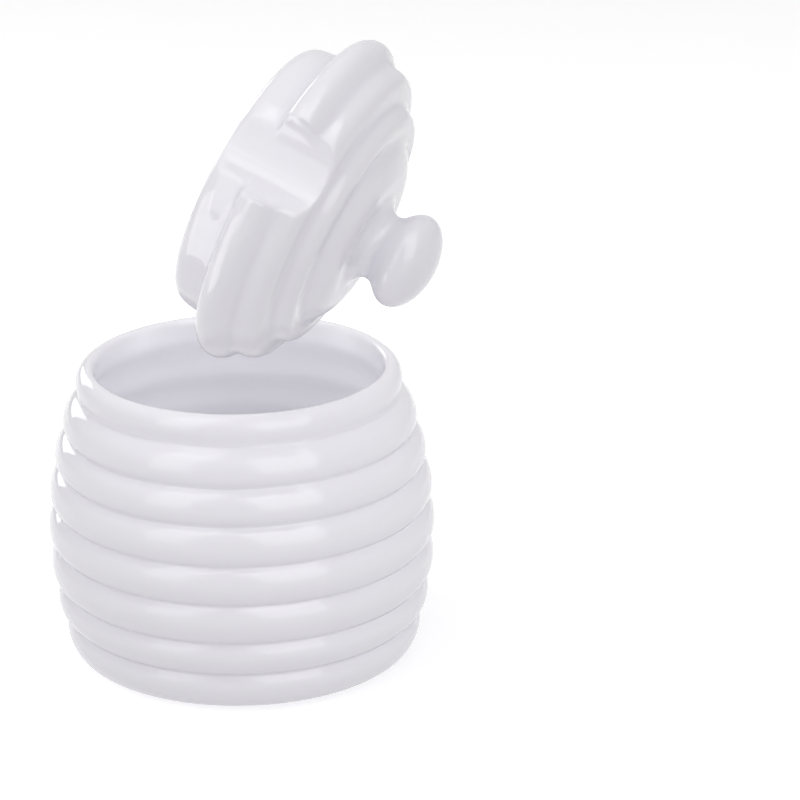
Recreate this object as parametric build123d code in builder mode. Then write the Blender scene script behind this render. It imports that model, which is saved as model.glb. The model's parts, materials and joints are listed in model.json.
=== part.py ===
"""Beehive honey pot with a loose lift-off lid, in glazed stoneware.

Two fired pieces: a ribbed barrel pot, and a domed lid with a ball knob, a locating
collar underneath and a notch in its edge for the handle of a honey dipper.

Frame: millimetres, +Z up, origin at the middle of the pot's foot.
The lid is modelled where it sits on the rim, then turned to where it is held open.
"""
from build123d import *
from math import cos, radians, sin, sqrt
import os

# ---------------------------------------------------------------- pot, outside
rib_heights = (8.2, 9.6, 9.4, 10.4, 10.4, 10.7, 9.2, 10.1)  # from the rim down to the table
belly_radius = 50.4       # widest rib
belly_height = 34.0       # where the barrel is widest, above the table
rib_depth = 3.4           # how far the grooves lie below the barrel line
groove_round = 1.4        # glaze pooled in each groove
foot_edge_round = 1.2

# ---------------------------------------------------------------- pot, mouth and inside
mouth_radius = 37.3       # inside of the straight lip
mouth_edge_round = 0.8
seat_width = 2.3          # flat top of the rim, outwards from the lip
rim_roll = 2.7            # the top rib's round stands out this much past the seat
lip_height = 6.4          # straight lip, then the wall steps out under it
rib_wall = 5.2            # from the barrel line to the inside, behind a rib
groove_wall = 6.6         # from the barrel line to the inside, behind a groove
floor_thickness = 5.0
floor_round = 9.0
foot_ring_width = 8.0     # what the pot stands on, in from the foot's edge
foot_recess = 1.2

# ---------------------------------------------------------------- lid
seat_gap = 0.25           # lid above the rim when it is shut
mouth_clearance = 2.4     # collar to lip, all round
collar_depth = 10.4
collar_draft = 0.8        # the collar narrows by this much towards its end
collar_wall = 5.0
collar_end_round = 3.8
collar_inner_round = 0.5
flange_seat_width = 4.3   # flat underside, outwards from the collar
flange_height = 9.4       # first ring of the lid
dome_height = 25.5        # seat to the top of the dome
crease_radii = (32.4, 25.0, 12.0)  # grooves between the rings above the flange
ring_bulges = (1.9, 1.6, 1.2)
crease_round = 1.6
dome_wall = 5.6
neck_radius = 8.0
neck_rise = 2.0           # the dome runs up this much to the narrow part of the neck
neck_length = 2.75        # narrow part, up to the underside of the knob
neck_round = 2.5
knob_round = 1.5          # where the knob meets its neck
knob_radius = 12.0
knob_half_height = 7.0

# ---------------------------------------------------------------- notch for the dipper handle
notch_radius = 10.9
notch_bite = 3.2          # how far it cuts into the collar, at the seat
notch_lean = 5.9          # degrees that the notch runs inwards on its way down
notch_wall = 3.6
notch_edge_round = 1.6
notch_azimuth = 151.0     # which way the notch faces when the lid is shut

# ---------------------------------------------------------------- where the lid is held open
swing_point = (20.3, -37.9, 18.5)  # on the swing axis, from the middle of the rim
swing_azimuth = 37.0
swing_elevation = 19.6
swing_angle = 125.8

# ---------------------------------------------------------------- worked out
body_height = sum(rib_heights)
seat_radius = mouth_radius + seat_width
rim_radius = seat_radius + rim_roll
rim_crest_height = body_height - rib_heights[0] / 2
barrel_rise = rim_crest_height - belly_height
barrel_drop = belly_radius - rim_radius
barrel_arc = (barrel_rise**2 + barrel_drop**2) / (2 * barrel_drop)
groove_heights = [body_height - sum(rib_heights[: n + 1]) for n in range(len(rib_heights))]
lip_bottom = body_height - lip_height
floor_height = foot_recess + floor_thickness
lid_seat = body_height + seat_gap
collar_radius = mouth_radius - mouth_clearance
crease_heights = [dome_height * sqrt(1 - (r / rim_radius) ** 2) for r in crease_radii]
flange_crease_radius = rim_radius * sqrt(1 - (flange_height / dome_height) ** 2)


def barrel(height):
    """Radius of the smooth barrel that the rib crests touch."""
    return belly_radius - barrel_arc + sqrt(barrel_arc**2 - (height - belly_height) ** 2)


def outer_groove(height):
    return (barrel(height) - rib_depth, height)


def inner_groove(height):
    return (barrel(height) - groove_wall, height)


def quarter_round(centre, across, up, reach=0.5523):
    """Bezier points for a quarter of an oval, from its crown out to its side."""
    x, y = centre
    return [
        (x, y + up),
        (x + reach * across, y + up),
        (x + across, y + reach * up),
        (x + across, y),
    ]


def corners_at(sketch, points, reach=0.01):
    """The corners of a sketch that lie on any of these points."""
    return sketch.vertices().filter_by(
        lambda corner: any(abs(corner.X - x) < reach and abs(corner.Y - y) < reach for x, y in points)
    )


# ---------------------------------------------------------------- pot
foot_edge = outer_groove(0)
foot_ring_inner = foot_edge[0] - foot_ring_width
mouth_corner = (mouth_radius, body_height)
lip_corner = (mouth_radius, lip_bottom)
outer_grooves = [outer_groove(height) for height in groove_heights[:-1]]
inner_grooves = [inner_groove(height) for height in groove_heights[1:-2]]
floor_corner = (barrel(floor_height) - groove_wall, floor_height)

with BuildPart() as pot:
    with BuildSketch(Plane.XZ) as pot_section:
        with BuildLine():
            # foot: a recess inside a standing ring
            Polyline(
                (0, foot_recess),
                (foot_ring_inner - foot_recess, foot_recess),
                (foot_ring_inner, 0),
                foot_edge,
            )
            # ribs, from the table up to the rim
            for low, high in zip(groove_heights[::-1], groove_heights[-2::-1]):
                middle = (low + high) / 2
                ThreePointArc(outer_groove(low), (barrel(middle), middle), outer_groove(high))
            ThreePointArc(
                outer_groove(groove_heights[0]),
                (rim_radius, rim_crest_height),
                (seat_radius, body_height),
            )
            # flat seat for the lid, and the straight lip under it
            Polyline((seat_radius, body_height), mouth_corner, lip_corner)
            # inside: softer rings behind the ribs, then the floor
            upper = lip_corner
            upper_height = groove_heights[0]
            for lower in inner_grooves:
                middle = (upper_height + lower[1]) / 2
                ThreePointArc(upper, (barrel(middle) - rib_wall, middle), lower)
                upper = lower
                upper_height = lower[1]
            Polyline(upper, floor_corner, (0, floor_height), (0, foot_recess))
        make_face()
        fillet(corners_at(pot_section, outer_grooves + inner_grooves), groove_round)
        fillet(corners_at(pot_section, [foot_edge]), foot_edge_round)
        fillet(corners_at(pot_section, [mouth_corner, lip_corner]), mouth_edge_round)
        fillet(corners_at(pot_section, [floor_corner]), floor_round)
    revolve(axis=Axis.Z)
pot.part.label = "pot"

# ---------------------------------------------------------------- lid, where it sits on the rim
# the sections are drawn a quarter turn from the notch, so that no seam runs into it
notch_way = Vector(cos(radians(notch_azimuth)), sin(radians(notch_azimuth)), 0)
lid_plane = Plane(origin=(0, 0, lid_seat), x_dir=Vector(0, 0, 1).cross(notch_way), z_dir=notch_way)
notch_centre = collar_radius - notch_bite + notch_radius / cos(radians(notch_lean))
notch_plane = Plane(
    origin=Vector(0, 0, lid_seat) + notch_way * notch_centre,
    z_dir=notch_way * sin(radians(notch_lean)) + Vector(0, 0, cos(radians(notch_lean))),
)
notch_reach = 2 * dome_height
flange_seat = (collar_radius + flange_seat_width, 0)
flange_crease = (flange_crease_radius, flange_height)
creases = [flange_crease] + list(zip(crease_radii, crease_heights))
collar_end = (collar_radius - collar_draft, -collar_depth)
collar_inside = collar_end[0] - collar_wall
hollow_height = dome_height - dome_wall
neck_foot = creases[-1]
neck_base = (neck_radius, neck_foot[1] + neck_rise)
knob_underside_height = neck_base[1] + neck_length
knob_centre_height = knob_underside_height + knob_half_height * sqrt(1 - (neck_radius / knob_radius) ** 2)
knob_centre = (0, knob_centre_height)

# the hollow under the lid, with a wall left around the notch
with BuildPart() as lid_hollow:
    with BuildSketch(lid_plane):
        with BuildLine():
            Polyline((0, hollow_height), (0, -collar_depth), (collar_inside, -collar_depth))
            Line((collar_inside, -collar_depth), (collar_inside, 0))
            Bezier(*quarter_round((0, 0), collar_inside, hollow_height))
        make_face()
    revolve(axis=Axis.Z)
    with BuildSketch(notch_plane):
        Circle(notch_radius + notch_wall)
    extrude(amount=notch_reach, both=True, mode=Mode.SUBTRACT)

with BuildPart() as shut_lid:
    with BuildSketch(lid_plane) as lid_section:
        with BuildLine():
            Polyline((0, -collar_depth), collar_end, (collar_radius, 0), flange_seat)
            ThreePointArc(flange_seat, (rim_radius, flange_height / 2), flange_crease)
            for inner, outer, bulge in zip(creases[1:], creases[:-1], ring_bulges):
                SagittaArc(outer, inner, -bulge)
            Polyline(
                neck_foot,
                neck_base,
                (neck_radius, knob_centre_height),
                (0, knob_centre_height),
                (0, -collar_depth),
            )
        make_face()
        with BuildLine():
            Bezier(*quarter_round(knob_centre, knob_radius, knob_half_height))
            Bezier(*quarter_round(knob_centre, knob_radius, -knob_half_height))
            Line((0, knob_centre_height - knob_half_height), (0, knob_centre_height + knob_half_height))
        make_face()
        fillet(corners_at(lid_section, [collar_end]), collar_end_round)
        fillet(corners_at(lid_section, creases[:-1]), crease_round)
        fillet(corners_at(lid_section, [neck_base]), neck_round)
    revolve(axis=Axis.Z)
    # the notch is cut before the hollow, so that its edges are rounded from outside only
    with BuildSketch(notch_plane):
        Circle(notch_radius)
    extrude(amount=notch_reach, both=True, mode=Mode.SUBTRACT)
    notch_wall_face = shut_lid.faces(Select.LAST).filter_by(GeomType.CYLINDER).sort_by(SortBy.AREA)[-1]
    fillet(notch_wall_face.edges(), notch_edge_round)
    add(lid_hollow.part, mode=Mode.SUBTRACT)
    collar_end_face = shut_lid.faces().sort_by(Axis.Z)[0]
    fillet(collar_end_face.inner_wires().edges(), collar_inner_round)
    neck_edges = shut_lid.edges().filter_by(GeomType.CIRCLE)
    fillet(neck_edges.sort_by_distance((0, 0, lid_seat + knob_underside_height))[0], knob_round)

# ---------------------------------------------------------------- lid, held open
rim_middle = Vector(0, 0, body_height)
swing_axis = Axis(
    rim_middle + Vector(*swing_point),
    Vector(
        cos(radians(swing_elevation)) * cos(radians(swing_azimuth)),
        cos(radians(swing_elevation)) * sin(radians(swing_azimuth)),
        sin(radians(swing_elevation)),
    ),
)
with BuildPart() as lid:
    add(shut_lid.part.rotate(swing_axis, swing_angle))
lid.part.label = "lid"

os.makedirs("parts", exist_ok=True)
export_step(pot.part, "parts/pot.step")
export_step(lid.part, "parts/lid.step")
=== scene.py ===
# %% [markdown]
# # A beehive honey pot in white glaze
#
# The object is two pieces of fired stoneware: a ribbed barrel pot, and a domed lid with a
# knob, held open above the mouth. The measured solids come first, as a frame that
# nothing here may move. Each visible piece is then made again as one smooth skin, because
# a glossy glaze shows every flat facet of a triangle mesh.

import json
from math import asin, cos, degrees, hypot, pi, radians, sin, sqrt, tan

import bpy
from mathutils import Matrix, Vector


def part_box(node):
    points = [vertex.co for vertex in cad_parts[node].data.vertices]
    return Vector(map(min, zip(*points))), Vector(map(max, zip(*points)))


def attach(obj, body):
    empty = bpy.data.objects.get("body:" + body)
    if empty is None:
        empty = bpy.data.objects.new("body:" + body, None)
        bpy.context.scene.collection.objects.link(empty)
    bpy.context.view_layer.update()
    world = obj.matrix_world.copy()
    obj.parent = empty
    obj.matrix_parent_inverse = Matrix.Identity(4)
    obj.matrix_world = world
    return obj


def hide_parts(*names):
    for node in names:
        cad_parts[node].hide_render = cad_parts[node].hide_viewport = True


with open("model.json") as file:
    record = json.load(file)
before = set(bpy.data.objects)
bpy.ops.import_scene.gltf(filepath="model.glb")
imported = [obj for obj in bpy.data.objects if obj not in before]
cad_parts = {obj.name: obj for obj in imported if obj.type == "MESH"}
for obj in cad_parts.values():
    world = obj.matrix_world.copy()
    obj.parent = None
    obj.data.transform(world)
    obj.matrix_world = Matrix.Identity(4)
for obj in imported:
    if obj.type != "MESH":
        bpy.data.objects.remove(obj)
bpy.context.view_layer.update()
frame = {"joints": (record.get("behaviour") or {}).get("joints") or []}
MM = 0.001

# %% [markdown]
# ## The camera
#
# A long lens a little above the pot's rim sees both the ribs and the mouth. The camera is
# placed from the rim: how far away the rim's middle is, and where it falls in the picture.
# A long lens keeps the ellipses of the ribs nearly parallel, as a product shot does.

# %% Place the camera
picture_pixels = 800
focal_pixels = 3500
camera_pitch = radians(20.03)
camera_roll = radians(0.32)
rim_pixel = (239.0, 361.4)
rim_distance = 0.9004
sensor_mm = 36.0

rim_middle = Vector((0, 0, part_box("pot")[1].z))
forward = Vector((0, cos(camera_pitch), -sin(camera_pitch)))
level_right = Vector((1, 0, 0))
level_up = level_right.cross(forward)
right = level_right * cos(camera_roll) - level_up * sin(camera_roll)
up = level_up * cos(camera_roll) + level_right * sin(camera_roll)
aside = (rim_pixel[0] - picture_pixels / 2) / focal_pixels * rim_distance
below = (rim_pixel[1] - picture_pixels / 2) / focal_pixels * rim_distance
eye = rim_middle - right * aside + up * below - forward * rim_distance

camera_data = bpy.data.cameras.new("camera")
camera_data.sensor_width = sensor_mm
camera_data.lens = focal_pixels / picture_pixels * sensor_mm
camera = bpy.data.objects.new("camera", camera_data)
bpy.context.collection.objects.link(camera)
camera_turn = Matrix((right, up, -forward)).transposed().to_4x4()
camera.matrix_world = Matrix.Translation(eye) @ camera_turn
bpy.context.scene.camera = camera
print("camera at", [round(value, 3) for value in eye], "lens", camera_data.lens, "mm")

# %% [markdown]
# ## Writing node trees as plain maths
#
# Both the shapes and the glaze are node trees. Wrapping a node's output in a small class
# lets Python's own signs add the Math nodes, so that a formula reads as a formula. Every
# other node comes from one method, which takes its type, its settings and its inputs.


# %% A socket that can be added and multiplied
class Socket:
    """One output of a node; arithmetic on it adds Math nodes to its tree."""

    def __init__(self, maker, output):
        self.maker = maker
        self.output = output

    def math(self, operation, *values):
        sockets = dict(enumerate(values))
        return self.maker.add("ShaderNodeMath", {"operation": operation}, sockets)[0]

    def __add__(self, other):
        return self.math("ADD", self, other)

    def __sub__(self, other):
        return self.math("SUBTRACT", self, other)

    def __rsub__(self, other):
        return self.math("SUBTRACT", other, self)

    def __mul__(self, other):
        return self.math("MULTIPLY", self, other)

    def __truediv__(self, other):
        return self.math("DIVIDE", self, other)

    def __rtruediv__(self, other):
        return self.math("DIVIDE", other, self)

    def __pow__(self, other):
        return self.math("POWER", self, other)

    __radd__ = __add__
    __rmul__ = __mul__


class Made:
    """A node that has been added; its outputs are read by name or number."""

    def __init__(self, maker, node):
        self.maker = maker
        self.node = node

    def __getitem__(self, key):
        return Socket(self.maker, self.node.outputs[key])


class Maker:
    """Adds nodes to one tree."""

    def __init__(self, tree):
        self.tree = tree

    def add(self, kind, settings=None, sockets=None):
        node = self.tree.nodes.new(kind)
        for name, value in (settings or {}).items():
            setattr(node, name, value)
        for key, value in (sockets or {}).items():
            if isinstance(value, Socket):
                self.tree.links.new(value.output, node.inputs[key])
            else:
                node.inputs[key].default_value = value
        return Made(self, node)


print("node helpers ready")

# %% [markdown]
# ## White glaze
#
# The glaze is a thin layer of glass over a white body. In the grooves and other hollows its
# colour is painted a shade cooler and darker, as painted shade where those hollows fall dark.
# Each skin carries that painted shade on its points as a number from 0 to 1. A very fine, slow
# unevenness in the surface makes the reflections swim a little, as on any dipped glaze.

# %% Mix the glaze
# the glaze's own white, then the cooler, darker white that is painted into hollows as shade
glaze_white = (0.874, 0.865, 0.902, 1)
painted_shade_white = (0.81, 0.797, 0.848, 1)
painted_shade_share = 0.85
cloud_scale = 28
cloud_detail = 3
cloud_in_colour = 0.16
cloud_in_roughness = 0.03
glaze_roughness = 0.04
orange_peel = 130
orange_peel_detail = 1
orange_peel_height = 0.00006
orange_peel_strength = 0.35
glaze_ior = 1.5


def noise(nodes, place, scale, detail):
    """Soft random clouds from 0 to 1."""
    sockets = {"Vector": place, "Scale": scale, "Detail": detail}
    return nodes.add("ShaderNodeTexNoise", None, sockets)[0]


def glaze_material():
    material = bpy.data.materials.new("white_glaze")
    material.use_nodes = True
    material.node_tree.nodes.clear()
    nodes = Maker(material.node_tree)
    place = nodes.add("ShaderNodeTexCoord")["Object"]
    # painted shade, read from the skin: a cooler, darker colour in the hollows
    painted_shade = nodes.add("ShaderNodeAttribute", {"attribute_name": "painted_shade"})["Fac"]
    clouds = noise(nodes, place, cloud_scale, cloud_detail)
    peel = noise(nodes, place, orange_peel, orange_peel_detail)
    depth = painted_shade * painted_shade_share + (clouds - 0.5) * cloud_in_colour
    colour = nodes.add(
        "ShaderNodeMix",
        {"data_type": "RGBA", "clamp_factor": True},
        {0: depth, 6: glaze_white, 7: painted_shade_white},
    )[2]
    bump = nodes.add(
        "ShaderNodeBump",
        None,
        {"Strength": orange_peel_strength, "Distance": orange_peel_height, "Height": peel},
    )["Normal"]
    shader = nodes.add(
        "ShaderNodeBsdfPrincipled",
        None,
        {
            "Base Color": colour,
            "Roughness": glaze_roughness + (clouds - 0.5) * cloud_in_roughness,
            "Normal": bump,
            "IOR": glaze_ior,
        },
    )
    nodes.add("ShaderNodeOutputMaterial", None, {"Surface": shader["BSDF"]})
    return material


glaze = glaze_material()
print("glaze nodes", len(glaze.node_tree.nodes))

# %% [markdown]
# ## A section that softens its own corners
#
# A thrown or slip-cast piece is a half section turned about its axis. The section is given
# by its corners only, and each corner also says how far the stretch after it bulges out of
# the clay: 0 is straight, and a rib is a few millimetres. The walk keeps the clay on its
# left. Geometry Nodes bend each stretch into an arc, space the points evenly and then blur
# them, which rounds every corner as glaze does.


# %% Half sections as corners and bulges
class Section:
    """Corners (radius, height) of a half section, and the bulge after each one."""

    def __init__(self, start):
        self.corners = [start]
        self.bulges = []

    def line(self, *points):
        for point in points:
            self.arc(point, 0.0)

    def arc(self, end, bulge):
        self.corners.append(end)
        self.bulges.append(bulge)

    def through(self, middle, end):
        start = self.corners[-1]
        along = (end[0] - start[0], end[1] - start[1])
        across = (middle[0] - start[0]) * along[1] - (middle[1] - start[1]) * along[0]
        self.arc(end, across / hypot(*along))

    def mesh(self, name):
        mesh = bpy.data.meshes.new(name)
        points = [(radius, 0, height) for radius, height in self.corners]
        mesh.from_pydata(points, [(n, n + 1) for n in range(len(points) - 1)], [])
        bulge = mesh.attributes.new("bulge", "FLOAT", "POINT")
        bulge.data.foreach_set("value", self.bulges + [0.0])
        return mesh


def oval_point(centre, across, high, angle):
    """Point of an upright oval, counted in degrees from its crown out to its side."""
    return centre[0] + across * sin(radians(angle)), centre[1] + high * cos(radians(angle))


def quarter_bulge(radius):
    """How far a quarter circle stands out from the line between its ends."""
    return radius * (1 - cos(pi / 4))


print("a 9 mm quarter round bulges by", round(quarter_bulge(9), 2), "mm")

# %% [markdown]
# ## Small steps that both trees use
#
# Geometry Nodes read and write numbers that ride on points. The same few moves come up
# again and again: start a tree with named inputs, look a value up by its point's number,
# take a vector apart, and set where points lie. Each gets a short name here.


# %% Helpers for Geometry Nodes trees
def new_tree(name, inputs, output):
    """An empty tree with those named inputs and one geometry output."""
    tree = bpy.data.node_groups.new(name, "GeometryNodeTree")
    for label, (kind, default) in inputs.items():
        socket = tree.interface.new_socket(label, in_out="INPUT", socket_type=kind)
        if default is not None:
            socket.default_value = default
    tree.interface.new_socket(output, in_out="OUTPUT", socket_type="NodeSocketGeometry")
    return tree


def sample(nodes, geometry, value, index, kind):
    """The value that a geometry's point of that number has."""
    settings = {"data_type": kind, "domain": "POINT", "clamp": True}
    sockets = {"Geometry": geometry, "Value": value, "Index": index}
    return nodes.add("GeometryNodeSampleIndex", settings, sockets)[0]


def named_number(nodes, name):
    """The number that points carry under that name."""
    settings = {"data_type": "FLOAT"}
    return nodes.add("GeometryNodeInputNamedAttribute", settings, {"Name": name})[0]


def stored(nodes, geometry, name, value):
    """The geometry, with the value written on its points under that name."""
    settings = {"data_type": "FLOAT", "domain": "POINT"}
    sockets = {"Geometry": geometry, "Name": name, "Value": value}
    return nodes.add("GeometryNodeStoreNamedAttribute", settings, sockets)[0]


def point_count(nodes, geometry, component):
    """How many points a mesh or a curve has."""
    settings = {"component": component}
    sockets = {"Geometry": geometry}
    return nodes.add("GeometryNodeAttributeDomainSize", settings, sockets)["Point Count"]


def split(nodes, vector):
    """A vector's X, Y and Z, read by those names."""
    return nodes.add("ShaderNodeSeparateXYZ", None, {0: vector})


def joined(nodes, **axes):
    """A vector made of the axes given, with 0 for the rest."""
    return nodes.add("ShaderNodeCombineXYZ", None, axes)[0]


def moved(nodes, geometry, position, **more):
    """The geometry, with its points set at that position."""
    sockets = {"Geometry": geometry, "Position": position, **more}
    return nodes.add("GeometryNodeSetPosition", None, sockets)[0]


def clamped(value):
    """The value, held between 0 and 1."""
    return value.math("MINIMUM", value.math("MAXIMUM", value, 0), 1)


print("tree helpers ready")

# %% [markdown]
# ## Bending each stretch into an arc
#
# A chain of points runs from corner to corner. A point's number says which stretch it is on
# and how far along, and the bulge of that stretch gives the arc's half angle: it is twice
# the arctangent of the bulge over half the chord. A straight stretch would be an arc of
# endless radius, so it is made a very slight arc.

# %% Geometry Nodes that bend the section
slightest_slant = 0.0005


def bent_stretches(nodes, corners, steps):
    """A curve through the corners, each stretch an arc of its own bulge."""
    position = nodes.add("GeometryNodeInputPosition")[0]
    bulges = named_number(nodes, "bulge")
    count = (point_count(nodes, corners, "MESH") - 1) * steps + 1
    chain = nodes.add("GeometryNodeMeshLine", {"mode": "OFFSET"}, {"Count": count})["Mesh"]

    # which stretch a point is on, and how far along it
    travelled = nodes.add("GeometryNodeInputIndex")[0] / steps
    stretch = travelled.math("FLOOR", travelled)
    share = travelled - stretch
    start = split(nodes, sample(nodes, corners, position, stretch, "FLOAT_VECTOR"))
    end = split(nodes, sample(nodes, corners, position, stretch + 1, "FLOAT_VECTOR"))
    bulge = sample(nodes, corners, bulges, stretch, "FLOAT")
    along_x = end["X"] - start["X"]
    along_z = end["Z"] - start["Z"]
    reach = (along_x * along_x + along_z * along_z) ** 0.5

    # an arc of that bulge, from its half angle
    slant = bulge * 2 / reach
    flat = slant.math("LESS_THAN", slant.math("ABSOLUTE", slant), slightest_slant)
    half_angle = slant.math("ARCTANGENT", slant + flat * slightest_slant) * 2
    turn = half_angle * (share * 2 - 1)
    radius = reach / (half_angle.math("SINE", half_angle) * 2)
    forth = radius * turn.math("SINE", turn)
    out = radius * (turn.math("COSINE", turn) - half_angle.math("COSINE", half_angle))
    arc_x = (start["X"] + end["X"]) * 0.5 + (along_x * forth + along_z * out) / reach
    arc_z = (start["Z"] + end["Z"]) * 0.5 + (along_z * forth - along_x * out) / reach
    arcs = moved(nodes, chain, joined(nodes, X=arc_x, Z=arc_z))
    return nodes.add("GeometryNodeMeshToCurve", None, {"Mesh": arcs})["Curve"]


print("slightest arc", slightest_slant)

# %% [markdown]
# ## Softening the section and finding its hollows for painted shade
#
# Glaze rounds every corner that it covers. Spacing the points evenly and averaging each
# with its neighbours a few times does the same. A much wider average of the section tells
# where it is hollow: there the average lies outside the clay, and that distance becomes the
# painted shade that darkens the glaze's colour in the hollows. The two ends are put back on
# the axis, so that the turned piece has closed poles.

# %% Geometry Nodes that soften the section
section_inputs = {
    "Corners": ("NodeSocketGeometry", None),
    "Steps per stretch": ("NodeSocketInt", 24),
    "Point spacing": ("NodeSocketFloat", 0.0005),
    "Softening passes": ("NodeSocketInt", 4),
    # how wide the average is, and how hollow a place must be for full painted shade
    "Shade width": ("NodeSocketInt", 40),
    "Shade depth": ("NodeSocketFloat", 0.0012),
}


def softened(nodes, curve, given):
    """The curve with even points and soft corners, with painted shade marked in its hollows."""
    position = nodes.add("GeometryNodeInputPosition")[0]

    def blurred(passes):
        settings = {"data_type": "FLOAT_VECTOR"}
        sockets = {"Value": position, "Iterations": passes}
        return nodes.add("GeometryNodeBlurAttribute", settings, sockets)[0]

    def difference(one, other):
        settings = {"operation": "SUBTRACT"}
        return nodes.add("ShaderNodeVectorMath", settings, {0: one, 1: other})[0]

    sockets = {"Curve": curve, "Length": given["Point spacing"]}
    spaced = nodes.add("GeometryNodeResampleCurve", {"mode": "LENGTH"}, sockets)["Curve"]
    tangent = split(nodes, nodes.add("GeometryNodeInputTangent")[0])
    # painted shade: how far the wide average lies outside the clay darkens the colour there
    away = split(nodes, difference(blurred(given["Shade width"]), position))
    hollow = (away["X"] * tangent["Z"] - away["Z"] * tangent["X"]) / given["Shade depth"]
    marked = stored(nodes, spaced, "painted_shade", clamped(hollow))
    soft = moved(nodes, marked, blurred(given["Softening passes"]))
    ends = nodes.add("GeometryNodeCurveEndpointSelection")[0]
    return moved(nodes, soft, joined(nodes, Z=split(nodes, position)["Z"]), Selection=ends)


def section_tree():
    """Corners and bulges in, an evenly spaced and softened section out."""
    tree = new_tree("softened_section", section_inputs, "Section")
    nodes = Maker(tree)
    given = nodes.add("NodeGroupInput")
    curve = bent_stretches(nodes, given["Corners"], given["Steps per stretch"])
    nodes.add("NodeGroupOutput", None, {"Section": softened(nodes, curve, given)})
    return tree


softened_section = section_tree()
print("section tree nodes", len(softened_section.nodes))

# %% [markdown]
# ## A round bite out of the wall
#
# The lid has a round notch in its edge, for the handle of a dipper or spoon. Seen from above
# it is a circle beside the axis. Along each direction the wall may reach only as far as
# that circle, and where the direction misses the circle the limit is pushed far out, so
# that nothing is cut. The notch leans, so its circle moves outwards with height, and the
# hollow under the lid keeps clear of it by a wall of its own.

# %% How far the wall may reach
past_circle_push = 1.5
past_axis_push = 9


def bite_reach(given, row, height, angle):
    """How far from the axis the wall may go before it meets the circle of the bite."""
    cosine = angle.math("COSINE", angle)
    sine = angle.math("SINE", angle)
    lining = row.math("LESS_THAN", row * given["Point spacing"], given["Lining length"])
    circle = given["Bite radius"] + lining * given["Lining wall"]
    distance = given["Bite distance"] + given["Bite lean"] * height
    aside = distance * sine
    inside = circle * circle - aside * aside
    chord = inside.math("MAXIMUM", inside, 0) ** 0.5
    missed_by = inside.math("MAXIMUM", inside * -1, 0) ** 0.5
    behind = cosine.math("LESS_THAN", cosine, 0)
    reach = distance * cosine - chord
    return reach + missed_by * past_circle_push + behind * past_axis_push


print("bite helper ready")

# %% [markdown]
# ## A lathe that can also take a bite
#
# A flat grid is rolled up: its rows follow the section and its columns go round the axis. A
# smooth minimum of the section's own radius and the bite's reach cuts the notch and rounds
# its edges at once, which a boolean cut would leave sharp. The columns are drawn together
# towards the notch, where the shape changes fastest. Merging doubled points closes the seam
# and the poles.

# %% Geometry Nodes that turn a section on its axis
lathe_inputs = {
    **section_inputs,
    "Columns": ("NodeSocketInt", 180),
    "Crowding": ("NodeSocketFloat", 0.0),
    "Bite azimuth": ("NodeSocketFloat", 0.0),
    "Bite distance": ("NodeSocketFloat", 1.0),
    "Bite lean": ("NodeSocketFloat", 0.0),
    "Bite radius": ("NodeSocketFloat", 0.0),
    "Bite softness": ("NodeSocketFloat", 0.002),
    "Lining length": ("NodeSocketFloat", 0.0),
    "Lining wall": ("NodeSocketFloat", 0.0),
    "Glaze": ("NodeSocketMaterial", None),
}
shade_fade = 1 * MM
merge_distance = 0.002 * MM


def lathe_tree():
    """Turns a softened section once round the upright axis, less a round bite."""
    tree = new_tree("turned_piece", lathe_inputs, "Piece")
    nodes = Maker(tree)
    given = nodes.add("NodeGroupInput")
    section = nodes.add(
        "GeometryNodeGroup",
        {"node_tree": softened_section},
        {name: given[name] for name in section_inputs},
    )[0]
    rows = point_count(nodes, section, "CURVE")
    sockets = {"Size X": 1.0, "Size Y": 1.0, "Vertices X": given["Columns"] + 1, "Vertices Y": rows}
    grid = nodes.add("GeometryNodeMeshGrid", None, sockets)["Mesh"]

    # each row of the grid takes its radius, height and painted shade from a point of the section
    position = nodes.add("GeometryNodeInputPosition")[0]
    square = split(nodes, position)
    row = (square["Y"] + 0.5) * (rows - 1)
    row = row.math("ROUND", row)
    point = split(nodes, sample(nodes, section, position, row, "FLOAT_VECTOR"))
    radius, height = point["X"], point["Z"]
    painted_shade = sample(nodes, section, named_number(nodes, "painted_shade"), row, "FLOAT")

    # directions from the middle of the bite, closest together there
    angle = square["X"] * (2 * pi)
    angle = angle - given["Crowding"] * angle.math("SINE", angle)
    reach = bite_reach(given, row, height, angle)
    cut = radius.math("SMOOTH_MIN", radius, reach, given["Bite softness"])
    # the painted shade of the hollows fades out where the bite cuts the wall
    untouched = clamped(1 - (radius - reach) / shade_fade)
    marked = stored(nodes, grid, "painted_shade", painted_shade * untouched)
    bearing = angle + given["Bite azimuth"]
    x = cut * bearing.math("COSINE", bearing)
    y = cut * bearing.math("SINE", bearing)
    skin = moved(nodes, marked, joined(nodes, X=x, Y=y, Z=height))

    last_steps = (
        ("GeometryNodeMergeByDistance", {"Distance": merge_distance}),
        ("GeometryNodeSetShadeSmooth", {}),
        ("GeometryNodeRealizeInstances", {}),
        ("GeometryNodeSetMaterial", {"Material": given["Glaze"]}),
    )
    for kind, sockets in last_steps:
        skin = nodes.add(kind, None, {"Geometry": skin, **sockets})[0]
    nodes.add("NodeGroupOutput", None, {"Piece": skin})
    return tree


turned_piece = lathe_tree()
print("lathe tree nodes", len(turned_piece.nodes))

# %% [markdown]
# ## From a tree to a plain mesh
#
# The tree runs as a modifier on an object that holds only the corners. Its inputs are set
# by their identifiers before anything is evaluated. The result is copied out as an ordinary
# mesh and the modifier goes, so that what is left is a piece like any other.


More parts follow.
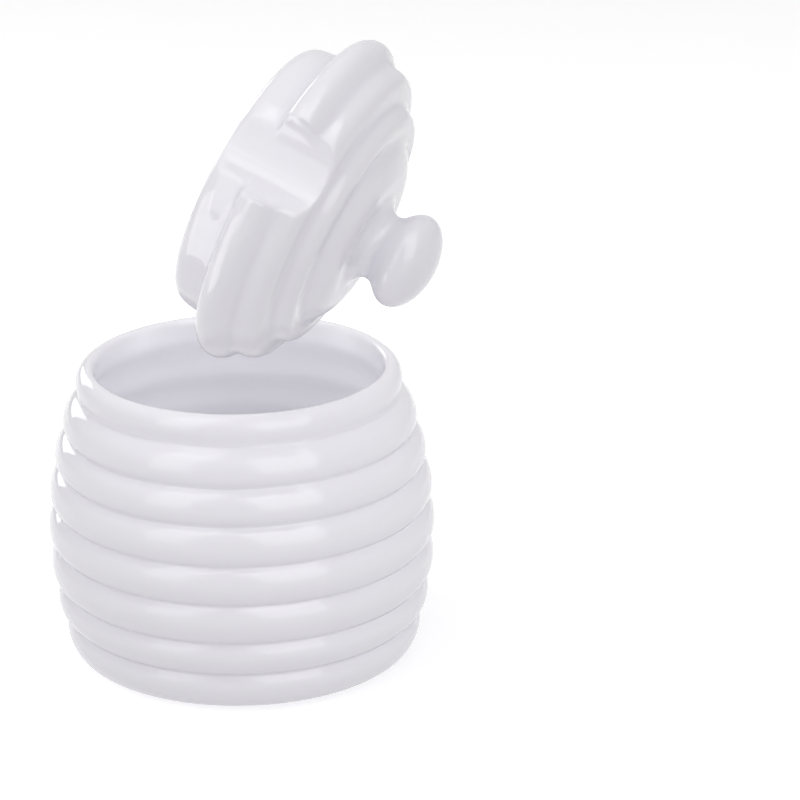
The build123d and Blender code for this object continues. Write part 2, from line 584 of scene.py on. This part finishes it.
# %% Run a tree on a section and keep the plain mesh
def made_by(tree, name, mesh, **values):
    """An object whose mesh is what the tree makes of the given one."""
    piece = bpy.data.objects.new(name, mesh)
    bpy.context.collection.objects.link(piece)
    modifier = piece.modifiers.new("shape", "NODES")
    modifier.node_group = tree
    for item in tree.interface.items_tree:
        key = item.name.lower().replace(" ", "_")
        if item.in_out == "INPUT" and key in values:
            modifier[item.identifier] = values[key]
    graph = bpy.context.evaluated_depsgraph_get()
    result = bpy.data.meshes.new_from_object(
        piece.evaluated_get(graph), preserve_all_data_layers=True, depsgraph=graph
    )
    piece.modifiers.clear()
    piece.data = result
    result.name = name
    return piece


print("ready to turn pieces")

# %% [markdown]
# ## The ribbed pot
#
# Eight ribs run round the barrel like the coils of a straw hive. Their crests touch one
# smooth barrel line, a circle's arc in section, and the grooves between them lie a few
# millimetres inside it. Each rib is a gentle face between two rounder shoulders. The inside
# has softer ribs between the same grooves, and the straight lip above guides the collar.

# %% Section of the pot
rib_heights = [height * MM for height in (8.2, 9.6, 9.4, 10.4, 10.4, 10.7, 9.2, 10.1)]
belly_radius = 50.4 * MM
belly_height = 34.0 * MM
rib_depth = 3.4 * MM
shoulder_height = 1.9 * MM
shoulder_drop = 0.5 * MM
shoulder_bulge = 0.6 * MM
mouth_radius = 37.3 * MM
seat_width = 2.3 * MM
rim_roll = 2.7 * MM
lip_height = 6.4 * MM
rib_wall = 5.5 * MM
groove_wall = 6.4 * MM
foot_recess = 1.2 * MM
floor_thickness = 5.0 * MM
floor_round = 9.0 * MM
lower_wall_lean = 0.7 * MM
foot_ring_width = 8.0 * MM

seat_radius = mouth_radius + seat_width
rim_radius = seat_radius + rim_roll
floor_height = foot_recess + floor_thickness
pot_height = sum(rib_heights)
rim_crest = pot_height - rib_heights[0] / 2
rise = rim_crest - belly_height
barrel_arc = (rise**2 + (belly_radius - rim_radius) ** 2) / (2 * (belly_radius - rim_radius))
grooves = [pot_height - sum(rib_heights[: n + 1]) for n in range(len(rib_heights))]


def barrel(height):
    """Radius of the barrel line that the rib crests touch."""
    return belly_radius - barrel_arc + sqrt(barrel_arc**2 - (height - belly_height) ** 2)


print("pot height", round(pot_height / MM, 1), "mm, rim radius", round(rim_radius / MM, 1), "mm")

# %% [markdown]
# ## Walking round the pot's wall
#
# The walk starts under the middle of the pot, goes out over the foot ring and up the ribs,
# over the rim and the lip, and down the inside to the middle of the floor. One closed walk
# gives the wall its thickness everywhere, with no second surface to line up.


# %% Turn the pot
def pot_section():
    section = Section((0, foot_recess))
    foot_edge = barrel(0) - rib_depth
    section.line((foot_edge - foot_ring_width - foot_recess, foot_recess))
    section.line((foot_edge - foot_ring_width, 0), (foot_edge, 0))
    for low, high in zip(grooves[::-1], grooves[-2::-1]):
        middle = (low + high) / 2
        face_low, face_high = low + shoulder_height, high - shoulder_height
        section.arc((barrel(face_low) - shoulder_drop, face_low), shoulder_bulge)
        section.through((barrel(middle), middle), (barrel(face_high) - shoulder_drop, face_high))
        section.arc((barrel(high) - rib_depth, high), shoulder_bulge)
    section.through((rim_radius, rim_crest), (seat_radius, pot_height))
    section.line((mouth_radius, pot_height), (mouth_radius, pot_height - lip_height))
    upper = pot_height - lip_height
    for lower in grooves[1:-2]:
        middle = (upper + lower) / 2
        section.through((barrel(middle) - rib_wall, middle), (barrel(lower) - groove_wall, lower))
        upper = lower
    wall = barrel(floor_height) - groove_wall
    section.line((wall + lower_wall_lean, floor_height + floor_round))
    section.arc((wall - floor_round, floor_height), -quarter_bulge(floor_round))
    section.line((0, floor_height))
    return section


section = pot_section()
pot = made_by(
    turned_piece,
    "ribbed_pot",
    section.mesh("pot_corners"),
    softening_passes=14,
    columns=180,
    glaze=glaze,
)
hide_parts("pot")
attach(pot, "pot")
print("pot corners", len(section.corners), "faces", len(pot.data.polygons))

# %% [markdown]
# ## The lid
#
# The dome is half an oval. Three narrow valleys are sunk in it, and the rings between them
# bulge out, so that the lid carries on the ribs of the pot. The knob is a flat oval on a
# short neck. Heights are counted from the seat.

# %% Section of the lid
mouth_clearance = 2.4 * MM
collar_depth = 10.4 * MM
collar_draft = 0.8 * MM
collar_wall = 5.0 * MM
collar_end_round = 3.8 * MM
flange_seat_width = 4.3 * MM
flange_height = 9.4 * MM
dome_height = 25.5 * MM
dome_wall = 5.6 * MM
hollow_step = 15
valley_angles = (68.4, 50.0, 36.2)
ring_bulges = [bulge * MM for bulge in (2.2, 1.9)]
valley_sink = 0.6 * MM
valley_half_angle = 1.9
valley_bulge = -0.35 * MM
top_ring_radius = 12.0 * MM
top_ring_bulge = 1.6 * MM
neck_radius = 8.0 * MM
neck_rise = 2.0 * MM
neck_length = 2.75 * MM
knob_radius = 12.0 * MM
knob_half_height = 7.0 * MM
knob_first_stop = 130
knob_step = 10

collar_radius = mouth_radius - mouth_clearance
collar_end = collar_radius - collar_draft
collar_inside = collar_end - collar_wall
flange_seat = collar_radius + flange_seat_width
hollow_height = dome_height - dome_wall
knob_meets_neck = degrees(asin(neck_radius / knob_radius))
print("collar radius", round(collar_radius / MM, 1), "mm")

# %% [markdown]
# ## Walking round the lid
#
# The walk starts under the top of the dome, goes out and down inside the collar, round its
# end and up outside it, out over the seat, and in over the rings to the neck and the knob.
# An oval has no single bulge, so it is followed in short arcs, each through a middle point.


# %% Section of the lid as a walk
def lid_section():
    section = Section((0, hollow_height))
    for angle in range(0, 90, hollow_step):
        section.through(
            oval_point((0, 0), collar_inside, hollow_height, angle + hollow_step / 2),
            oval_point((0, 0), collar_inside, hollow_height, angle + hollow_step),
        )
    section.line((collar_inside, -collar_depth), (collar_end - collar_end_round, -collar_depth))
    section.arc((collar_end, collar_end_round - collar_depth), quarter_bulge(collar_end_round))
    section.line((collar_radius, 0), (flange_seat, 0))
    sunk_oval = ((0, 0), rim_radius - valley_sink, dome_height - valley_sink)
    valleys = [
        (
            oval_point(*sunk_oval, angle + valley_half_angle),
            oval_point(*sunk_oval, angle - valley_half_angle),
        )
        for angle in valley_angles
    ]
    section.through((rim_radius, flange_height / 2), valleys[0][0])
    section.arc(valleys[0][1], valley_bulge)
    for (valley_start, valley_end), ring_bulge in zip(valleys[1:], ring_bulges):
        section.arc(valley_start, ring_bulge)
        section.arc(valley_end, valley_bulge)
    top_ring_height = dome_height * sqrt(1 - (top_ring_radius / rim_radius) ** 2)
    section.arc((top_ring_radius, top_ring_height - valley_sink), top_ring_bulge)
    neck_top = top_ring_height + neck_rise + neck_length
    middle = (0, neck_top + knob_half_height * cos(radians(knob_meets_neck)))
    section.line((neck_radius, top_ring_height + neck_rise), (neck_radius, neck_top))
    stops = [180 - knob_meets_neck] + list(range(knob_first_stop, -1, -knob_step))
    for start, end in zip(stops, stops[1:]):
        section.through(
            oval_point(middle, knob_radius, knob_half_height, (start + end) / 2),
            oval_point(middle, knob_radius, knob_half_height, end),
        )
    return section


section = lid_section()
print("lid corners", len(section.corners))

# %% [markdown]
# ## Turning the lid and holding it open
#
# The lid is turned where it sits, its notch cut at the same time, and its mesh is then
# swung to where it is held open. The swing reads the axis and the angle of the frame's own
# joint, so that the skin meets the solid at every pose.

# %% Turn the lid, cut its notch and hold it open
notch_azimuth = radians(151.0)
notch_radius = 10.9 * MM
notch_bite = 3.2 * MM
notch_lean = radians(5.9)
notch_wall = 3.6 * MM
notch_softness = 3.0 * MM
column_crowding = 0.88
seat_gap = 0.25 * MM

# the hollow's own stretches, from the top of the dome down to the collar's end
lining_stretches = 90 // hollow_step + 1
lining_corners = section.corners[: lining_stretches + 1]
lining = sum(
    hypot(end[0] - start[0], end[1] - start[1])
    for start, end in zip(lining_corners, lining_corners[1:])
)
lid = made_by(
    turned_piece,
    "domed_lid",
    section.mesh("lid_corners"),
    softening_passes=12,
    columns=240,
    crowding=column_crowding,
    bite_azimuth=notch_azimuth,
    bite_distance=collar_radius - notch_bite + notch_radius / cos(notch_lean),
    bite_lean=tan(notch_lean),
    bite_radius=notch_radius,
    bite_softness=notch_softness,
    lining_length=lining,
    lining_wall=notch_wall,
    glaze=glaze,
)
hinge = frame["joints"][0]
swing_point = Vector(hinge["pos_m"])
swing = Matrix.Rotation(radians(-hinge["range_deg"][0]), 4, Vector(hinge["axis"]))
raised = Vector((0, 0, pot_height + seat_gap))
from_swing_point = Matrix.Translation(raised - swing_point)
lid.data.transform(Matrix.Translation(swing_point) @ swing @ from_swing_point)
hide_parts("lid")
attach(lid, "lid")
print("lid faces", len(lid.data.polygons), "lining", round(lining / MM, 1), "mm")

# %% [markdown]
# ## The floor
#
# A plain pale sheet, far wider than the picture. It glows a little by itself, which keeps
# it pale where the lights hardly reach; from very low down its far part still looks grey.
# It throws no matte light back on the pot: the world below does that evenly instead.

# %% Lay the floor
floor_half = 3.0
floor_white = (0.9, 0.9, 0.9, 1)
floor_roughness = 0.6
floor_glow = 0.38

floor_mesh = bpy.data.meshes.new("floor")
floor_corners = [(-1, -1), (1, -1), (1, 1), (-1, 1)]
floor_mesh.from_pydata(
    [(x * floor_half, y * floor_half, 0) for x, y in floor_corners], [], [(0, 1, 2, 3)]
)
floor = bpy.data.objects.new("floor", floor_mesh)
bpy.context.collection.objects.link(floor)
floor.visible_diffuse = False


def floor_material():
    material = bpy.data.materials.new("pale_floor")
    material.use_nodes = True
    shader = material.node_tree.nodes["Principled BSDF"]
    shader.inputs["Base Color"].default_value = floor_white
    shader.inputs["Roughness"].default_value = floor_roughness
    shader.inputs["Emission Color"].default_value = (1, 1, 1, 1)
    shader.inputs["Emission Strength"].default_value = floor_glow
    return material


floor_mesh.materials.append(floor_material())
print("floor", 2 * floor_half, "m wide")

# %% [markdown]
# ## The room around it
#
# A white table lights the pot from below more than a dim room does from above. A glossy
# glaze would mirror that dim room as dark edges, so only matte surfaces see it: reflections
# and the camera see one even, pale backdrop. The Light Path node tells the two apart.

# %% Make the room
table_glow = 0.64
room_glow = 0.12
backdrop_glow = 0.78
horizon_blur = 0.05
room_tint = (0.98, 0.97, 1, 1)


def studio_world():
    world = bpy.data.worlds.new("studio")
    world.use_nodes = True
    world.node_tree.nodes.clear()
    nodes = Maker(world.node_tree)
    height = split(nodes, nodes.add("ShaderNodeTexCoord")["Generated"])["Z"]
    sockets = {"Value": height, "From Min": -horizon_blur, "From Max": horizon_blur}
    above = nodes.add("ShaderNodeMapRange", None, sockets)[0]
    matte = nodes.add("ShaderNodeLightPath")["Is Diffuse Ray"]
    glow = above * (room_glow - table_glow) + table_glow
    glow = matte * (glow - backdrop_glow) + backdrop_glow
    sockets = {"Color": room_tint, "Strength": glow}
    background = nodes.add("ShaderNodeBackground", None, sockets)["Background"]
    nodes.add("ShaderNodeOutputWorld", None, {"Surface": background})
    return world


bpy.context.scene.world = studio_world()
print("world", bpy.context.scene.world.name)

# %% [markdown]
# ## Soft boxes
#
# White on white shows its form by shading and by reflections, and each needs its own
# light. So the lights come in two kinds. A fill lights the matte white under the glaze and
# leaves no reflection. A card is seen only in the glaze, where it makes the long patches on
# the ribs. A light's brightness is given as its radiance, so its size can change alone.


# %% A soft box
def soft_box(name, azimuth, elevation, size, radiance, matte=True, gloss=True, distance=1.3):
    """A rectangular area light that far from the rim's middle, turned to face it."""
    data = bpy.data.lights.new(name, "AREA")
    data.shape = "RECTANGLE"
    data.size, data.size_y = size
    data.energy = radiance * pi * size[0] * size[1]
    light = bpy.data.objects.new(name, data)
    bpy.context.collection.objects.link(light)
    level = cos(radians(elevation))
    away = Vector(
        (level * sin(radians(azimuth)), -level * cos(radians(azimuth)), sin(radians(elevation)))
    )
    turn = away.to_track_quat("Z", "Y").to_matrix().to_4x4()
    middle = Vector((0, 0, pot_height)) + away * distance
    light.matrix_world = Matrix.Translation(middle) @ turn
    light.visible_camera = False
    light.visible_diffuse = matte
    light.visible_glossy = gloss
    return light


print("soft box ready")

# %% [markdown]
# ## Setting the lights
#
# Azimuths are counted from the front, to the right. Fills stand in front, at both sides and
# overhead, and none behind. Two tall cards at the front left and right make the main
# reflections, each with a second card over it, and a small one behind brightens the left
# edges.

# %% Fills and cards
# name, azimuth and elevation in degrees, width and height in metres, radiance
fills = (
    ("overhead", 180, 83, (1.6, 1.6), 1.0),
    ("fill_front", 0, 15, (1.2, 0.5), 2.3),
    ("fill_left", -55, 35, (0.9, 0.8), 1.45),
    ("fill_right", 55, 35, (0.9, 0.8), 0.6),
    ("side_left", -100, 35, (0.9, 0.8), 1.5),
    ("side_right", 100, 35, (0.9, 0.8), 1.2),
)
cards = (
    ("card_left", -43, 31, (0.64, 1.56), 1.5),
    ("card_left_top", -43, 69, (0.64, 0.7), 1.0),
    ("card_right", 32, 31, (0.95, 1.56), 1.9),
    ("card_right_top", 32, 69, (0.95, 0.7), 1.4),
    ("card_back", -148, 15, (0.45, 0.5), 2.6),
)
for setting in fills:
    soft_box(*setting, gloss=False)
for setting in cards:
    soft_box(*setting, matte=False)
print("fills", len(fills), "cards", len(cards))

# %% [markdown]
# ## Lights for one piece only
#
# The tipped lid and the upright pot face different ways, so the same fills don't suit both.
# Light linking gives each its own: a fill for the pot, and a fill and a small near card for
# the lid. One more small light lies in the mouth, facing down, for the inside.

# %% Linked lights
card_lid = soft_box("card_lid", -54, 5, (0.14, 0.17), 2.2, matte=False, distance=0.2)
fill_lid = soft_box("fill_lid", 60, 50, (1.0, 0.8), 0.35, gloss=False)
fill_pot = soft_box("fill_pot", 55, 35, (0.9, 0.8), 1.4, gloss=False)
soft_box("mouth_light", 0, 90, (0.052, 0.052), 0.5, gloss=False, distance=0)
for piece, linked in ((pot, (fill_pot,)), (lid, (card_lid, fill_lid))):
    only = bpy.data.collections.new("only_" + piece.name)
    only.objects.link(piece)
    for light in linked:
        light.light_linking.receiver_collection = only
        light.light_linking.blocker_collection = only
bpy.context.scene.view_settings.view_transform = "Standard"
